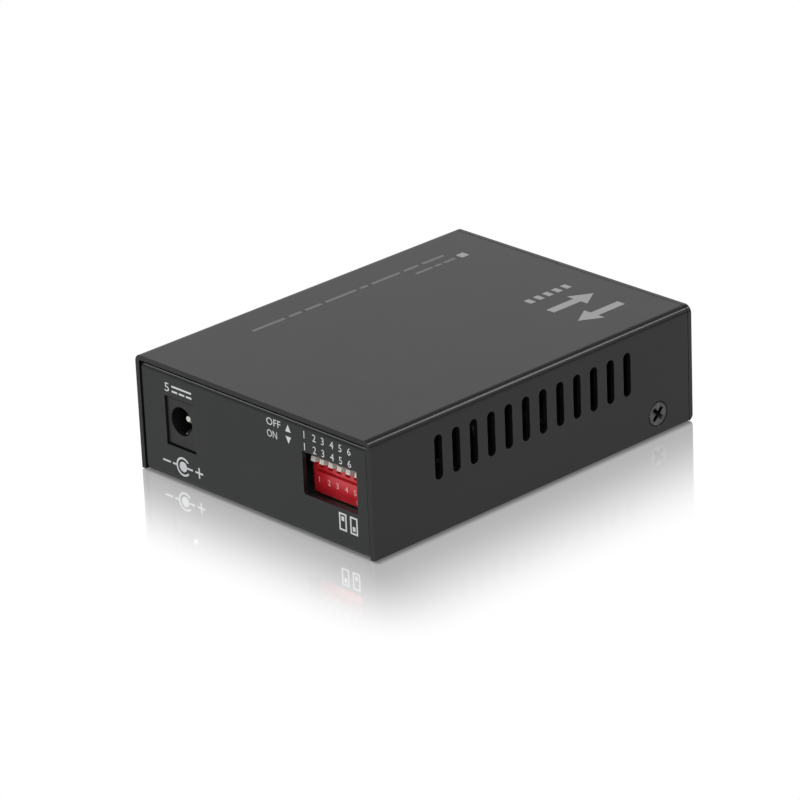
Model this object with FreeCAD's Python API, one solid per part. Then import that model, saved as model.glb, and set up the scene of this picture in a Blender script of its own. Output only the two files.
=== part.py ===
"""Compact fibre media converter: a folded steel box with one copper port and one fibre slot.

Frame: millimetres, origin at the centre of the underside, +Z up.  The power panel (DC inlet
and piano-type DIP switch) faces -Y, the port panel (SFP slot, RJ45 jack, status lamps) faces
+Y, and a row of upright vent slots is on each side.

The tray is one folded sheet: floor, power panel with a return at its top, port panel and two
side flanges.  The cover is one folded sheet over it, held by a countersunk screw on each side.
The board stands on two clinched hexagon standoffs and carries everything else.
"""
import FreeCAD, Part
import math
import os

V = FreeCAD.Vector

# ---------------------------------------------------------------- case
LENGTH = 94.0            # over all, along Y
WIDTH = 70.3             # over all, along X
HEIGHT = 26.2            # over all, along Z
COVER_SHEET = 1.1        # cover steel
TRAY_SHEET = 1.0         # tray steel
COVER_BEND = 1.7         # outside radius of the cover's two bends
TRAY_BEND = 1.4          # outside radius of the tray's bends
SIDE_GAP = 0.45          # cover wall to tray flange and to power panel
TOP_GAP = 0.35           # cover top to the return of the power panel
SEAM_GAP = 0.2          # cover front edge to port panel
WALL_LIFT = 0.2          # cover wall above the surface that the tray rests on
PANEL_RECESS = 0.3       # power panel behind the cover's rear edge
RETURN_DEPTH = 8.0       # return at the top of the power panel
FLANGE_HEIGHT = 9.0      # tray side flanges
FLANGE_STOP = 4.0        # flange end to each panel's inside
RELIEF = 1.0             # corner relief between flange and panel bend

# ---------------------------------------------------------------- vents
VENT_COUNT = 12
VENT_PITCH = 5.02
VENT_WIDTH = 2.25
VENT_LENGTH = 9.9
VENT_MID_Y = -0.55
VENT_MID_Z = 16.75

# ---------------------------------------------------------------- cover screws
SCREW_INSET = 10.7       # screw axis behind the port panel's face
SCREW_Z = 4.8
SCREW_R = 1.5            # M3
SCREW_HEAD_R = 2.8
SCREW_LENGTH = 5.0
SCREW_PROUD = -0.1       # head against the cover's face
THREAD_GAP = 0.05        # screw to its tapped hole, radial
SINK_GAP = 0.15          # screw head to its countersink, radial
RECESS_REACH = 1.85      # cross recess, middle to the end of an arm
RECESS_ARM = 0.8         # width of its arms
RECESS_DEPTH = 1.3

# ---------------------------------------------------------------- board
BOARD_SHEET = 1.6
BOARD_TOP = 8.0
BOARD_END_GAP = 0.8      # board edge to each panel's inside
BOARD_SIDE_GAP = 1.0     # board edge to tray flange
FIX_EDGE = 3.4           # fixing hole to the board's side edge
FIX_REAR = 16.9          # left fixing hole to the board's rear edge
FIX_FRONT = 3.7          # right fixing hole to the board's front edge
FIX_HOLE_R = 1.65
STANDOFF_FLATS = 5.0     # across the flats
STANDOFF_HEAD_FLATS = 5.6
STANDOFF_GAP = 0.02      # hexagon head to its hole in the floor
PAN_HEAD_R = 2.75
PAN_HEAD_HEIGHT = 1.8
PAN_SCREW_LENGTH = 5.0
TAIL = 1.2               # solder tails below the board

# ---------------------------------------------------------------- DC inlet
INLET_EDGE = 9.27        # inlet axis to the board's left edge
INLET_WIDTH = 8.7
INLET_HEIGHT = 10.4
INLET_LIFT = 0.3         # moulded feet under the body
INLET_RECESS = 0.45      # face behind the power panel's face
INLET_LENGTH = 14.2
INLET_COLLAR = 3.5       # square front part
INLET_AXIS = 6.05        # barrel axis above the board
INLET_BORE_R = 3.2
INLET_BORE_DEPTH = 11.0
INLET_PIN_R = 1.05
INLET_PIN_RECESS = 1.75  # pin tip behind the face
INLET_SIDE_CLEAR = 0.18  # opening in the panel round the face
INLET_END_CLEAR = 0.38
INLET_BARREL_IN = 0.15   # barrel inside the collar's sides
INLET_TERMINAL = 2.0     # width of the rear and spring terminals
INLET_SLOT_CLEAR = 0.3   # board slot past each end of a terminal
INLET_SLOT_WIDTH = 0.9
INLET_REAR_SLOT = 0.35   # rear slot's middle behind the body
INLET_PLATE_GAP = 0.1    # rear plate behind the body
INLET_PLATE_THICK = 0.4
INLET_PLATE_HALF = 1.7
INLET_PLATE_REACH = 1.6  # rear plate above and below the axis
INLET_SPRING_TIP = 1.6   # spring tip behind the face
INLET_SPRING_BOW = 2.9   # its highest point behind the face
INLET_SPRING_RISE = 0.45  # above the bore's lowest line
INLET_SPRING_FOOT = 8.2  # its tail behind the face
INLET_SPRING_SHEET = 0.35
INLET_SWITCH_GAP = 0.15  # switch contact to the body's side
INLET_SWITCH_SHEET = 0.4
INLET_SWITCH_START = 9.7  # behind the face
INLET_SWITCH_WIDTH = 1.8
INLET_SWITCH_DOWN = 1.4  # its top below the axis

# ---------------------------------------------------------------- DIP switch
WINDOW_EDGE = 12.35      # window middle to the cover's side
WINDOW_WIDTH = 15.8
WINDOW_LOW = 9.0
WINDOW_HEIGHT = 9.5
WINDOW_ROUND = 0.6
DIP_SHIFT = 0.35         # switch middle inboard of the window's middle
DIP_COUNT = 6
DIP_PITCH = 2.54
DIP_CHEEK = 0.6          # housing past the last half pitch
DIP_FACE = 3.55          # housing face behind the power panel's face
DIP_DEPTH = 9.0
DIP_LIFT = 0.3
DIP_HEIGHT = 8.6
DIP_WALL = 0.45
DIP_SKIRT = 1.9          # hollow for the base, above the housing's foot
DIP_BASE_THICK = 1.2
DIP_PIN_ROWS = 7.62
DIP_ROOF = 0.35          # housing over the lever cells
DIP_CELL_FRONT = 1.2     # lever cell behind the housing's face
DIP_CHEEK_LIP = 0.3      # cheek past the last slot's half pitch
DIP_STEP_Z = 5.0         # lever recess starts this far above the housing's foot
DIP_SLOT_Z = 5.5         # lever slots start this far above it
DIP_STEP_DEPTH = 0.5
DIP_GROOVE = 0.35        # shadow groove under the lever recess
LEVER_WIDTH = 1.2
LEVER_SLOT_GAP = 0.1     # lever side to slot side
LEVER_THICK = 1.05
LEVER_REACH = 1.95       # tip past the housing's face
LEVER_HUB = 1.1          # half width of the hub
LEVER_NOSE = 3.55        # cam nose below the pivot
LEVER_PIVOT_IN = 3.0     # pivot behind the housing's face
LEVER_PIVOT_Z = 6.75     # pivot above the housing's foot
LEVER_UP = 17.0          # degrees above level at rest
TRUNNION_FLATS = 0.92    # octagonal, across the flats
TRUNNION_LENGTH = 0.4
TRUNNION_GAP = 0.05

# ---------------------------------------------------------------- SFP cage
CAGE_WIDTH = 14.5
CAGE_HEIGHT = 9.8
CAGE_LENGTH = 48.8
CAGE_SHEET = 0.3
PORT_FACE_RECESS = 0.1   # ports behind the port panel's face
CAGE_PANEL_CLEAR = 0.7   # opening in the panel round the cage
CAGE_FLOOR_STOP = 37.8   # cage floor ends here behind its mouth, for the connector
CAGE_FLOOR_RISE = 2.2    # and the walls start this far above the board there
LATCH_WINDOW_TIP = 9.2   # latch window's tip behind the mouth
LATCH_WINDOW_BASE = 6.4  # and its wide end
LATCH_WINDOW_HALF = 1.7
CAGE_TAB_START = 19.0    # side tab's front behind the mouth
CAGE_TAB_LENGTH = 3.0
CAGE_TAB_LIFT = 4.4      # its slit above the board
CAGE_TAB_SLIT = 0.3
EMI_SHEET = 0.12
EMI_BOW = 0.5
EMI_GAP = 0.03           # collar to cage
EMI_DEPTH = 5.0          # collar's rear behind the mouth
EMI_BAND = 1.2
EMI_SKIRT = 0.6          # collar's ends above the board
EMI_TOP_FINGERS = 5
EMI_TOP_PITCH = 2.5
EMI_SIDE_FINGERS = 3
EMI_SIDE_PITCH = 2.6
EMI_FINGER = 1.9         # width of a finger
EDGE_WIDTH = 12.2
EDGE_DEPTH = 8.5
EDGE_HEIGHT = 5.6
EDGE_BACK = 38.4         # connector front behind the cage mouth
EDGE_SLOT_WIDTH = 9.6
EDGE_SLOT_HEIGHT = 1.7
EDGE_SLOT_DEPTH = 5.2
EDGE_SLOT_Z = 3.4        # slot centre above the board
EDGE_PITCH = 0.8
EDGE_ROW = 10
EDGE_CONTACT = 0.15      # contact strip thickness
EDGE_CONTACT_WIDTH = 0.28
EDGE_STAGGER = 0.1       # each row aside from the middle
EDGE_CORNER = 1.5        # cut corner at the top rear

# ---------------------------------------------------------------- RJ45 jack
JACK_WIDTH = 16.0
JACK_HEIGHT = 13.4
JACK_LENGTH = 18.0
JACK_SHEET = 0.25
JACK_FIT = 0.05          # shield to insert
JACK_PANEL_CLEAR = 0.25
PLUG_WIDTH = 11.9
PLUG_HEIGHT = 6.9
PLUG_DEPTH = 12.5
PLUG_LOW = 3.6           # plug space above the board
LATCH_WIDTH = 6.1
LATCH_DEEP = 1.5
KEY_WIDTH = 3.3
KEY_DEEP = 1.0
JACK_PITCH = 1.02
JACK_CONTACTS = 8
WIRE = 0.3
JACK_FRONT_IN = 0.3      # insert behind the shield's face
JACK_ROW_BACK = 1.6      # first pin row before the jack's rear
JACK_ROWS = 2.54
JACK_WELL_SIDE = 0.15    # contact well past the last half pitch
JACK_ROOF = 0.9          # insert over the contact well
MOUTH_CLEAR = 0.4        # shield's mouth round the plug space
MOUTH_LOW = 0.8          # its lower edge above the board
GROUND_FRONT = 4.0       # side springs' front behind the face
GROUND_LENGTH = 5.0
GROUND_SLITS = (6.2, 8.9)  # their slits above the board
GROUND_SLIT = 0.3
SHIELD_POST_START = 9.3  # shield posts behind the face
SHIELD_POST_WIDTH = 1.2
SHIELD_POST_DEEP = 0.6   # into the board

# ---------------------------------------------------------------- status lamps
LAMP_MARGIN = 6.3        # lamp holder to the board's right edge
LAMP_COLUMNS = 2
LAMP_ROWS = 3
LAMP_PITCH_X = 3.9
LAMP_PITCH_Z = 4.0
LAMP_WIDTH = 2.6         # square light guides
LAMP_LENGTH = 4.2
LAMP_FIT = 0.06
LAMP_FIRST_Z = 2.4       # lowest row above the board
LAMP_PANEL_CLEAR = 0.12
LAMP_BLOCK_WALL = 0.75
LAMP_BLOCK_DEPTH = 6.0
LAMP_BLOCK_GAP = 0.4     # holder to the panel

# ---------------------------------------------------------------- along the port panel
# Spaces left of the cage, between cage and jack, and between jack and lamps. They share out
# what the three pieces leave of the board's width, in these proportions.
PORT_SPACES = (8.35, 6.75, 3.3)

# ---------------------------------------------------------------- parts on the board
# Places are from the inlet's middle and the board's rear edge, or the jack's middle and rear.
CANS_FROM_INLET = [(10.8, 6.9), (18.8, 6.9)]
INDUCTOR_FROM_INLET = (11.3, 18.9)
REGULATOR_FROM_INLET = (20.3, 20.4)
CHIP_FROM_JACK = (-2.0, -26.9)
CRYSTAL_FROM_JACK = (8.5, -27.9)
MAGNETICS_FROM_JACK = (0.0, -7.9)
MEMORY_FROM_JACK = (18.0, -36.9)
PASSIVES_FROM_INLET = [(-5.0, 33.0)]
PASSIVES_FROM_JACK = [(11.0, -46.7), (11.0, -17.7), (-6.5, -17.7), (-6.5, -37.7)]
PASSIVE_COUNTS = (3, 5, 5, 6, 6)
PASSIVE_PITCH = 2.4
CHIP_SIZE = 10.0
CHIP_HEIGHT = 0.9
CHIP_CORNER = 0.8
PACKAGE_STAND = 0.15     # moulded body above the board
LEAD_WIDTH = 0.4
LEAD_DEPTH = 0.3
CRYSTAL_FOOT = (5.0, 3.2, 0.6)
CRYSTAL_LID = (4.4, 2.6, 1.1)
REGULATOR_SIZE = (6.4, 3.5)
REGULATOR_STAND = 0.1
REGULATOR_TOP = 1.7
REGULATOR_TAB = 3.0      # width of the cooling tab
REGULATOR_REACH = 3.4    # tab and pins from the middle
REGULATOR_ROOT = 1.5     # where they leave the body
REGULATOR_SHEET = 0.3
REGULATOR_PITCH = 2.3
REGULATOR_PIN = 0.7
MAGNETICS_SIZE = (15.0, 7.2)
MAGNETICS_HEIGHT = 5.0
MAGNETICS_LEAD_COUNT = 8
MAGNETICS_PITCH = 1.65
MEMORY_SIZE = (5.0, 3.9)
MEMORY_HEIGHT = 1.5
MEMORY_LEAD_COUNT = 4
MEMORY_PITCH = 1.27
CAN_R = 3.15
CAN_HEIGHT = 9.5
INDUCTOR_SIZE = 7.8
INDUCTOR_HEIGHT = 3.6
INDUCTOR_CORNER = 1.4
PASSIVE_WIDTH = 1.0
PASSIVE_DEPTH = 1.6
PASSIVE_HEIGHT = 0.7

# ---------------------------------------------------------------- worked out from the above
HALF_L = LENGTH / 2
HALF_W = WIDTH / 2
COVER_IN_X = HALF_W - COVER_SHEET
TRAY_X = COVER_IN_X - SIDE_GAP
POWER_Y = PANEL_RECESS - HALF_L
POWER_IN_Y = POWER_Y + TRAY_SHEET
PORT_IN_Y = HALF_L - TRAY_SHEET
RETURN_TOP = HEIGHT - COVER_SHEET - TOP_GAP
BOARD_LOW = BOARD_TOP - BOARD_SHEET
BOARD_X = TRAY_X - TRAY_SHEET - BOARD_SIDE_GAP
BOARD_REAR = POWER_IN_Y + BOARD_END_GAP
BOARD_FRONT = PORT_IN_Y - BOARD_END_GAP
SCREW_Y = HALF_L - SCREW_INSET
PORT_FACE = HALF_L - PORT_FACE_RECESS
INLET_X = INLET_EDGE - BOARD_X
INLET_FACE = POWER_Y + INLET_RECESS
INLET_FOOT = BOARD_TOP + INLET_LIFT
INLET_AXIS_Z = BOARD_TOP + INLET_AXIS
WINDOW_X = HALF_W - WINDOW_EDGE
DIP_X = WINDOW_X - DIP_SHIFT
DIP_FACE_Y = POWER_Y + DIP_FACE
TRUNNION_R = TRUNNION_FLATS / 2 / math.cos(math.pi / 8)
DIP_BACK_Y = DIP_FACE_Y + DIP_DEPTH
DIP_FOOT = BOARD_TOP + DIP_LIFT
DIP_HALF = DIP_COUNT * DIP_PITCH / 2 + DIP_CHEEK
PIVOT_Y = DIP_FACE_Y + LEVER_PIVOT_IN
PIVOT_Z = DIP_FOOT + LEVER_PIVOT_Z
LAMP_HALF = (LAMP_COLUMNS - 1) * LAMP_PITCH_X / 2 + LAMP_WIDTH / 2 + LAMP_BLOCK_WALL
LAMP_X = BOARD_X - LAMP_MARGIN - LAMP_HALF
SPARE = 2 * (BOARD_X - LAMP_HALF) - LAMP_MARGIN - CAGE_WIDTH - JACK_WIDTH
SPACES = [space * SPARE / sum(PORT_SPACES) for space in PORT_SPACES]
CAGE_X = SPACES[0] + CAGE_WIDTH / 2 - BOARD_X
CAGE_REAR = PORT_FACE - CAGE_LENGTH
JACK_X = CAGE_X + CAGE_WIDTH / 2 + SPACES[1] + JACK_WIDTH / 2
JACK_REAR = PORT_FACE - JACK_LENGTH


def from_inlet(place):
    """Board place given from the inlet's middle and the board's rear edge."""
    return INLET_X + place[0], BOARD_REAR + place[1]


def from_jack(place):
    """Board place given from the jack's middle and its rear."""
    return JACK_X + place[0], JACK_REAR + place[1]


CAN_PLACES = [from_inlet(place) for place in CANS_FROM_INLET]
INDUCTOR_PLACE = from_inlet(INDUCTOR_FROM_INLET)
REGULATOR_PLACE = from_inlet(REGULATOR_FROM_INLET)
CHIP_PLACE = from_jack(CHIP_FROM_JACK)
CRYSTAL_PLACE = from_jack(CRYSTAL_FROM_JACK)
MAGNETICS_PLACE = from_jack(MAGNETICS_FROM_JACK)
MEMORY_PLACE = from_jack(MEMORY_FROM_JACK)
PASSIVE_ROWS = [from_inlet(row) for row in PASSIVES_FROM_INLET]
PASSIVE_ROWS += [from_jack(row) for row in PASSIVES_FROM_JACK]
FIX_POINTS = [(FIX_EDGE - BOARD_X, BOARD_REAR + FIX_REAR),
              (BOARD_X - FIX_EDGE, BOARD_FRONT - FIX_FRONT)]


# ================================================================ shape helpers
def at(plane, u, v, w):
    """Point at (u, v) of a named plane, w along its normal."""
    if plane == "XY":
        return V(u, v, w)
    if plane == "XZ":
        return V(u, w, v)
    return V(w, u, v)


def outline_edges(plane, points, radii, w, closed):
    """Straight edges through the points, with a tangent arc at each rounded corner."""
    count = len(points)
    edges = []
    start = None
    first = None
    for i in range(count):
        corner = V(points[i][0], points[i][1], 0)
        ends_here = not closed and i in (0, count - 1)
        radius = 0.0 if ends_here else radii[i]
        if radius <= 0:
            enter = leave = middle = corner
        else:
            back = V(*points[i - 1], 0) - corner
            ahead = V(*points[(i + 1) % count], 0) - corner
            back.normalize()
            ahead.normalize()
            half = back.getAngle(ahead) / 2
            enter = corner + back * (radius / math.tan(half))
            leave = corner + ahead * (radius / math.tan(half))
            inward = back + ahead
            inward.normalize()
            middle = corner + inward * (radius / math.sin(half) - radius)
        p_in, p_mid, p_out = (at(plane, p.x, p.y, w) for p in (enter, middle, leave))
        if start is None:
            first = p_in
        elif start.distanceToPoint(p_in) > 1e-7:
            edges.append(Part.LineSegment(start, p_in).toShape())
        if radius > 0:
            edges.append(Part.Arc(p_in, p_mid, p_out).toShape())
        start = p_out
    if closed and start.distanceToPoint(first) > 1e-7:
        edges.append(Part.LineSegment(start, first).toShape())
    return edges


def prism(plane, points, low, high, radius=0.0):
    """Closed outline, its corners rounded, extruded between two heights of the plane."""
    radii = radius if isinstance(radius, (list, tuple)) else [radius] * len(points)
    wire = Part.Wire(outline_edges(plane, points, radii, low, True))
    return Part.Face(wire).extrude(at(plane, 0, 0, high - low))


def rectangle(u0, u1, v0, v1):
    """Corner points of a rectangle, counter-clockwise from its low corner."""
    return [(u0, v0), (u1, v0), (u1, v1), (u0, v1)]


def block(x0, x1, y0, y1, z0, z1):
    """Plain block between two corners."""
    return Part.makeBox(x1 - x0, y1 - y0, z1 - z0, V(x0, y0, z0))


def rod(plane, u, v, radius, low, high):
    """Round rod along the normal of a plane."""
    return Part.makeCylinder(radius, high - low, at(plane, u, v, low), at(plane, 0, 0, 1))


def obround(plane, u, v, width, length, low, high):
    """Slot with round ends, long along the plane's second axis."""
    half = width / 2
    top, bottom = v + length / 2 - half, v - length / 2 + half
    corner = [at(plane, u + a * half, b, low) for a, b in
              ((-1, bottom), (1, bottom), (1, top), (-1, top))]
    lower = Part.Arc(corner[0], at(plane, u, bottom - half, low), corner[1]).toShape()
    upper = Part.Arc(corner[2], at(plane, u, top + half, low), corner[3]).toShape()
    right = Part.makeLine(corner[1], corner[2])
    left = Part.makeLine(corner[3], corner[0])
    return Part.Face(Part.Wire([lower, right, upper, left])).extrude(at(plane, 0, 0, high - low))


def offset_line(points, distance):
    """Right-angled or slanting open line moved sideways, to its left when positive."""
    moved = []
    normals = []
    for (u0, v0), (u1, v1) in zip(points, points[1:]):
        size = math.hypot(u1 - u0, v1 - v0)
        normals.append(((v0 - v1) / size, (u1 - u0) / size))
    for i, (u, v) in enumerate(points):
        n0 = normals[max(i - 1, 0)]
        n1 = normals[min(i, len(normals) - 1)]
        scale = distance / (1 + n0[0] * n1[0] + n0[1] * n1[1])
        moved.append((u + (n0[0] + n1[0]) * scale, v + (n0[1] + n1[1]) * scale))
    return moved


def folded(plane, face, sheet, bend, low, high):
    """Sheet folded along an open line: bend is the radius on the line's own side.

    The sheet lies to the left of the line when sheet is positive, else to its right.
    Every corner bends towards the sheet's own side.
    """
    thick = abs(sheet)
    back = offset_line(face, sheet)
    count = len(face)
    near = outline_edges(plane, face, [bend] * count, low, False)
    far = outline_edges(plane, back, [bend - thick] * count, low, False)
    ends = [Part.LineSegment(at(plane, *face[k], low), at(plane, *back[k], low)).toShape()
            for k in (0, -1)]
    wire = Part.Wire(Part.__sortEdges__(near + far + ends))
    return Part.Face(wire).extrude(at(plane, 0, 0, high - low))


def strip(line, thick, low, high, plane="YZ"):
    """Square-cornered strip of sheet along an open line, to the line's left when positive."""
    back = offset_line(line, thick)
    return prism(plane, line + back[::-1], low, high)


def turned(profile, base, direction):
    """Solid of revolution from (radius, height) points, its axis placed in space."""
    wire = Part.makePolygon([V(r, 0, h) for r, h in profile + profile[:1]])
    solid = Part.Face(wire).revolve(V(0, 0, 0), V(0, 0, 1), 360)
    turn = FreeCAD.Rotation(V(0, 0, 1), direction)
    solid.Placement = FreeCAD.Placement(base, turn)
    return solid


def bar(plane, u, v, flats, sides, low, high):
    """Bar of regular section along the normal of a plane, sized across its flats."""
    corner = flats / 2 / math.cos(math.pi / sides)
    turns = [2 * math.pi * (k + 0.5) / sides for k in range(sides)]
    points = [(u + corner * math.cos(turn), v + corner * math.sin(turn)) for turn in turns]
    return prism(plane, points, low, high)


def fuse(shapes):
    """One solid from overlapping or touching pieces."""
    joined = shapes[0].multiFuse(shapes[1:]) if len(shapes) > 1 else shapes[0]
    return joined.removeSplitter()


def cut(shape, tools):
    """Shape with all the tools taken away."""
    return shape.cut(Part.makeCompound(tools)).removeSplitter()


def group(solids):
    """Several separate solids that share one node."""
    return Part.makeCompound(solids)


def cross_recess(base, direction):
    """Tapered cross of a Phillips recess, opening at the base against the direction."""
    end = RECESS_ARM / 2
    tools = []
    for turn in (45, 135):
        arm = prism("XZ", [(-RECESS_REACH, 0), (RECESS_REACH, 0), (end, RECESS_DEPTH),
                           (-end, RECESS_DEPTH)], -end, end)
        arm.rotate(V(0, 0, 0), V(0, 0, 1), turn)
        tools.append(arm)
    tool = tools[0].fuse(tools[1])
    tool.Placement = FreeCAD.Placement(base, FreeCAD.Rotation(V(0, 0, 1), direction))
    return tool


# ================================================================ case
def cover_shape():
    """Folded cover: top and two sides, with vents and countersunk screw holes."""
    face = [(-HALF_W, WALL_LIFT), (-HALF_W, HEIGHT), (HALF_W, HEIGHT), (HALF_W, WALL_LIFT)]
    sheet = folded("XZ", face, -COVER_SHEET, COVER_BEND, -HALF_L, PORT_IN_Y - SEAM_GAP)
    reach = HALF_W + 1
    first = VENT_MID_Y - (VENT_COUNT - 1) * VENT_PITCH / 2
    tools = [obround("YZ", first + k * VENT_PITCH, VENT_MID_Z, VENT_WIDTH, VENT_LENGTH,
                     -reach, reach) for k in range(VENT_COUNT)]
    mouth = SCREW_HEAD_R + SINK_GAP
    for side in (-1, 1):
        tools.append(Part.makeCone(mouth, mouth - COVER_SHEET, COVER_SHEET,
                                   V(side * HALF_W, SCREW_Y, SCREW_Z), V(-side, 0, 0)))
    return cut(sheet, tools)


def tray_shape():
    """Folded tray: floor, side flanges, power panel with its return, and port panel."""
    flange_rear = POWER_IN_Y + FLANGE_STOP
    flange_front = PORT_IN_Y - FLANGE_STOP
    sides = folded("XZ", [(-TRAY_X, FLANGE_HEIGHT), (-TRAY_X, 0), (TRAY_X, 0),
                          (TRAY_X, FLANGE_HEIGHT)],
                   TRAY_SHEET, TRAY_BEND, flange_rear, flange_front)
    neck = TRAY_X - TRAY_BEND
    floor = block(-neck, neck, flange_rear - RELIEF - 1, flange_front + RELIEF + 1,
                  0, TRAY_SHEET)
    power = folded("YZ", [(flange_rear - RELIEF, 0), (POWER_Y, 0), (POWER_Y, RETURN_TOP),
                          (POWER_Y + RETURN_DEPTH, RETURN_TOP)],
                   -TRAY_SHEET, TRAY_BEND, -TRAY_X, TRAY_X)
    port = folded("YZ", [(flange_front + RELIEF, 0), (HALF_L, 0), (HALF_L, HEIGHT)],
                  TRAY_SHEET, TRAY_BEND, -HALF_W, HALF_W)
    rim = prism("XZ", rectangle(-HALF_W, HALF_W, 0, HEIGHT), 0, HALF_L,
                [0, 0, COVER_BEND, COVER_BEND])
    ears = [block(side * TRAY_X if side > 0 else -HALF_W - 1,
                  HALF_W + 1 if side > 0 else -TRAY_X,
                  flange_front, PORT_IN_Y, -1, TRAY_BEND + 1) for side in (-1, 1)]
    port = port.common(rim).cut(group(ears))
    tray = fuse([floor, sides, power, port])

    through = (POWER_Y - 1, POWER_IN_Y + 1)
    out = (PORT_IN_Y - 1, HALF_L + 1)
    half_inlet = INLET_WIDTH / 2 + INLET_SIDE_CLEAR
    tools = [
        rod("YZ", SCREW_Y, SCREW_Z, SCREW_R + THREAD_GAP, -HALF_W, HALF_W),
        prism("XZ", rectangle(INLET_X - half_inlet, INLET_X + half_inlet,
                              INLET_FOOT - INLET_END_CLEAR,
                              INLET_FOOT + INLET_HEIGHT + INLET_END_CLEAR), *through),
        prism("XZ", rectangle(WINDOW_X - WINDOW_WIDTH / 2, WINDOW_X + WINDOW_WIDTH / 2,
                              WINDOW_LOW, WINDOW_LOW + WINDOW_HEIGHT), *through,
              [WINDOW_ROUND, WINDOW_ROUND, 0, 0]),
        prism("XZ", rectangle(CAGE_X - CAGE_WIDTH / 2 - CAGE_PANEL_CLEAR,
                              CAGE_X + CAGE_WIDTH / 2 + CAGE_PANEL_CLEAR,
                              BOARD_TOP - CAGE_PANEL_CLEAR,
                              BOARD_TOP + CAGE_HEIGHT + CAGE_PANEL_CLEAR), *out),
        prism("XZ", rectangle(JACK_X - JACK_WIDTH / 2 - JACK_PANEL_CLEAR,
                              JACK_X + JACK_WIDTH / 2 + JACK_PANEL_CLEAR,
                              BOARD_TOP - JACK_PANEL_CLEAR,
                              BOARD_TOP + JACK_HEIGHT + JACK_PANEL_CLEAR), *out),
    ]
    lamp = LAMP_WIDTH / 2 + LAMP_PANEL_CLEAR
    tools += [prism("XZ", rectangle(x - lamp, x + lamp, z - lamp, z + lamp), *out)
              for x, z in lamp_places()]
    tools += [bar("XY", x, y, STANDOFF_HEAD_FLATS + 2 * STANDOFF_GAP, 6, -1, TRAY_SHEET + 1)
              for x, y in FIX_POINTS]
    return cut(tray, tools)


def cover_screws_shape():
    """Two countersunk M3 screws with a cross recess, heads just under the cover's face."""
    screws = []
    cone = SCREW_HEAD_R - SCREW_R
    for side in (-1, 1):
        flush = V(side * (HALF_W + SCREW_PROUD), SCREW_Y, SCREW_Z)
        inward = V(-side, 0, 0)
        screw = turned([(0, 0), (SCREW_HEAD_R, 0), (SCREW_R, cone), (SCREW_R, SCREW_LENGTH),
                        (0, SCREW_LENGTH)], flush, inward)
        screws.append(screw.cut(cross_recess(flush, inward)))
    return group(screws)


# ================================================================ board and its fixings
def board_shape():
    """Circuit board with fixing holes and holes for the pins that go through it."""
    sheet = block(-BOARD_X, BOARD_X, BOARD_REAR, BOARD_FRONT, BOARD_LOW, BOARD_TOP)
    deep = (BOARD_LOW - 1, BOARD_TOP + 1)
    tools = [rod("XY", x, y, FIX_HOLE_R, *deep) for x, y in FIX_POINTS]
    tools += [block(x - 0.45, x + 0.45, y - 0.45, y + 0.45, *deep) for x, y in dip_pins()]
    tools += [block(x - 0.4, x + 0.4, y - 0.4, y + 0.4, *deep) for x, y in jack_pins()]
    tools += [prism("XY", rectangle(x - w, x + w, y - d, y + d), *deep)
              for x, y, w, d in inlet_slots()]
    return cut(sheet, tools)


def standoffs_shape():
    """Hexagon standoffs, each clinched into the floor by its wider head."""
    parts = []
    for x, y in FIX_POINTS:
        body = fuse([bar("XY", x, y, STANDOFF_HEAD_FLATS, 6, 0, TRAY_SHEET),
                     bar("XY", x, y, STANDOFF_FLATS, 6, TRAY_SHEET, BOARD_LOW)])
        parts.append(body.cut(rod("XY", x, y, SCREW_R + THREAD_GAP, TRAY_SHEET, BOARD_TOP)))
    return group(parts)


def board_screws_shape():
    """M3 pan-head screws through the board into the standoffs."""
    screws = []
    for x, y in FIX_POINTS:
        base = V(x, y, BOARD_TOP + PAN_HEAD_HEIGHT)
        shank = PAN_HEAD_HEIGHT + PAN_SCREW_LENGTH
        screw = turned([(0, 0), (PAN_HEAD_R, 0), (PAN_HEAD_R, PAN_HEAD_HEIGHT),
                        (SCREW_R, PAN_HEAD_HEIGHT), (SCREW_R, shank), (0, shank)],
                       base, V(0, 0, -1))
        screws.append(screw)
    return group(screws)


# ================================================================ DC inlet
def inlet_slots():
    """Board slots of the inlet's three terminals: centre and half sizes."""
    wide = INLET_TERMINAL / 2 + INLET_SLOT_CLEAR
    thin = INLET_SLOT_WIDTH / 2
    side = INLET_X + INLET_WIDTH / 2 + INLET_SWITCH_GAP + INLET_SWITCH_SHEET / 2
    switch = INLET_FACE + INLET_SWITCH_START + INLET_SWITCH_WIDTH / 2
    return [(INLET_X, INLET_FACE + INLET_LENGTH + INLET_REAR_SLOT, wide, thin),
            (INLET_X, INLET_FACE + INLET_SPRING_FOOT, wide, thin),
            (side, switch, thin, INLET_SWITCH_WIDTH / 2 + INLET_SLOT_CLEAR)]


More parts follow.
